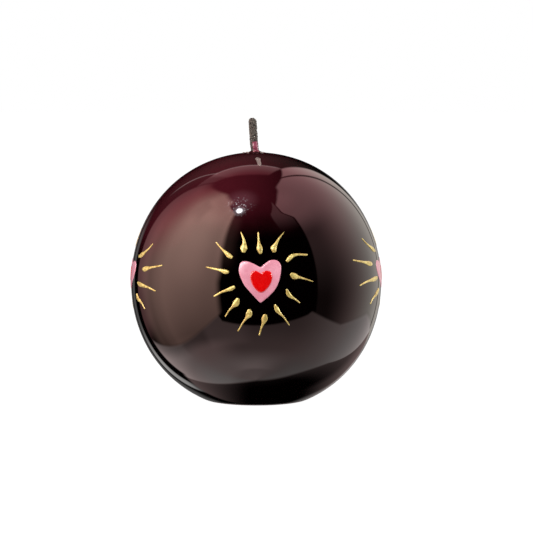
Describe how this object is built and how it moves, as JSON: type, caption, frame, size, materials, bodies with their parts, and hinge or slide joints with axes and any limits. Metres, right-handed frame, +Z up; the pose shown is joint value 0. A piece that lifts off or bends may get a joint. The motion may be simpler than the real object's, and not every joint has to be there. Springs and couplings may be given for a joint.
{
  "type": "ball candle",
  "caption": "Round wine-red lacquered ball candle with a flat base, a cotton wick and painted relief motifs of pink and red hearts ringed by gold brush strokes.",
  "frame": {"origin": "centre of the flat base the candle stands on", "axes": "+Z up along the ball's axis towards the wick; -Y is the front, the side with the front motif; +X is to the right seen from the front"},
  "size_m": [0.0818, 0.0818, 0.0903],
  "materials": {
    "burgundy_wax": "very glossy lacquered dipped wax, nearly black wine red that glows deep red where it is thin or lit through",
    "white_wax": "planed paraffin, translucent off-white, soft satin",
    "cotton": "round braided cotton cord, waxed, grey-brown with pale loose fibres",
    "tinplate": "pressed tinplate, dull bright",
    "pink_paint": "thick glossy acrylic paint, brushed, with soft ridges",
    "red_paint": "thick glossy acrylic paint, pure red",
    "gold_paint": "thick metallic gold paint, fine flake, pale glints on its bulbs"
  },
  "bodies": {
    "root": {"white_wax_core": "white_wax", "burgundy_wax_shell": "burgundy_wax", "cotton_wick": "cotton", "wick_sustainer": "tinplate", "pink_heart_front": "pink_paint", "red_heart_front": "red_paint", "gold_stroke_front_01": "gold_paint", "gold_stroke_front_02": "gold_paint", "gold_stroke_front_03": "gold_paint", "gold_stroke_front_04": "gold_paint", "gold_stroke_front_05": "gold_paint", "gold_stroke_front_06": "gold_paint", "gold_stroke_front_07": "gold_paint", "gold_stroke_front_08": "gold_paint", "gold_stroke_front_09": "gold_paint", "gold_stroke_front_10": "gold_paint", "gold_stroke_front_11": "gold_paint", "gold_stroke_front_12": "gold_paint", "gold_stroke_front_13": "gold_paint", "pink_heart_right": "pink_paint", "red_heart_right": "red_paint", "gold_stroke_right_01": "gold_paint", "gold_stroke_right_02": "gold_paint", "gold_stroke_right_03": "gold_paint", "gold_stroke_right_04": "gold_paint", "gold_stroke_right_05": "gold_paint", "gold_stroke_right_06": "gold_paint", "gold_stroke_right_07": "gold_paint", "gold_stroke_right_08": "gold_paint", "gold_stroke_right_09": "gold_paint", "gold_stroke_right_10": "gold_paint", "gold_stroke_right_11": "gold_paint", "gold_stroke_right_12": "gold_paint", "gold_stroke_right_13": "gold_paint", "pink_heart_left": "pink_paint", "red_heart_left": "red_paint", "gold_stroke_left_01": "gold_paint", "gold_stroke_left_02": "gold_paint", "gold_stroke_left_03": "gold_paint", "gold_stroke_left_04": "gold_paint", "gold_stroke_left_05": "gold_paint", "gold_stroke_left_06": "gold_paint", "gold_stroke_left_07": "gold_paint", "gold_stroke_left_08": "gold_paint", "gold_stroke_left_09": "gold_paint", "gold_stroke_left_10": "gold_paint", "gold_stroke_left_11": "gold_paint", "gold_stroke_left_12": "gold_paint", "gold_stroke_left_13": "gold_paint", "pink_heart_back": "pink_paint", "red_heart_back": "red_paint", "gold_strokes_back": "gold_paint"}
  },
  "joints": []
}
